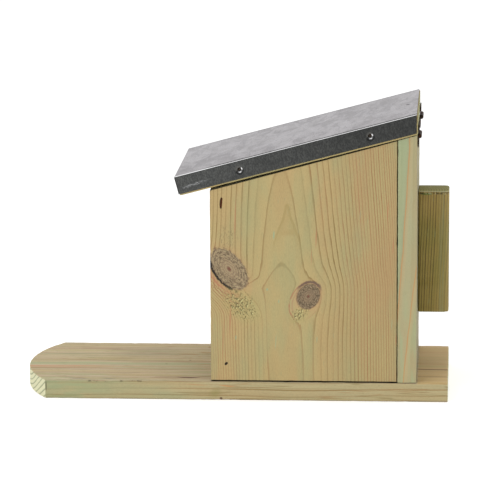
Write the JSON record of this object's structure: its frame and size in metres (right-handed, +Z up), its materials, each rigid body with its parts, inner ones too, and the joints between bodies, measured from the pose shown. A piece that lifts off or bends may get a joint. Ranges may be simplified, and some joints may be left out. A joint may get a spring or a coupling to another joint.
{
  "type": "birdhouse",
  "caption": "Pine birdhouse on a long landing board with a curved front end, a rear-hinged sloping lid capped in folded sheet metal, a round entrance and a rear spacer block.",
  "frame": {"origin": "under the middle of the overall bounding box, on the underside of the landing board", "axes": "+X across the box, +Y from the curved front end of the landing board to the tree or wall plane at the rear, +Z up"},
  "size_m": [0.1622, 0.4086, 0.2764],
  "materials": {
    "pine": "planed, pressure treated, unpainted, green-tan",
    "block_pine": "planed, treated darker, rounded edges",
    "galvanised": "hot-dip galvanised sheet, satin, lightly scuffed",
    "zinc": "zinc plated, satin",
    "dark_steel": "dull bare wire",
    "rusty_steel": "rust-stained wire"
  },
  "bodies": {
    "box": {"back_board": "pine", "base_board": "pine", "base_screw_back_board": "zinc", "base_screw_front_board": "zinc", "block_screw_lower": "zinc", "block_screw_upper": "zinc", "front_board": "pine", "left_back_screw_lower": "zinc", "left_back_screw_upper": "zinc", "left_base_screw_front": "zinc", "left_base_screw_rear": "zinc", "left_front_brad": "dark_steel", "left_front_staple": "rusty_steel", "left_hinge_fixed_leaf": "zinc", "left_hinge_pin": "zinc", "left_hinge_screw_back_1": "zinc", "left_hinge_screw_back_2": "zinc", "left_side_panel": "pine", "right_back_screw_lower": "zinc", "right_back_screw_upper": "zinc", "right_base_screw_front": "zinc", "right_base_screw_rear": "zinc", "right_front_brad": "dark_steel", "right_front_staple": "rusty_steel", "right_hinge_fixed_leaf": "zinc", "right_hinge_pin": "zinc", "right_hinge_screw_back_1": "zinc", "right_hinge_screw_back_2": "zinc", "right_side_panel": "pine", "spacer_block": "block_pine"},
    "lid": {"left_cap_nail_eaves": "dark_steel", "left_cap_nail_front": "dark_steel", "left_cap_nail_rear": "dark_steel", "left_hinge_moving_leaf": "zinc", "left_hinge_screw_lid_1": "zinc", "left_hinge_screw_lid_2": "zinc", "lid_board": "pine", "lid_sheet_cap": "galvanised", "right_cap_nail_eaves": "dark_steel", "right_cap_nail_front": "dark_steel", "right_cap_nail_rear": "dark_steel", "right_hinge_moving_leaf": "zinc", "right_hinge_screw_lid_1": "zinc", "right_hinge_screw_lid_2": "zinc"}
  },
  "joints": [
    {"name": "lid_hinge", "type": "hinge", "parent": "box", "child": "lid", "pos_m": [0, 0.1765, 0.254], "axis": [-1, 0, 0], "range_deg": [0, 105]}
  ]
}
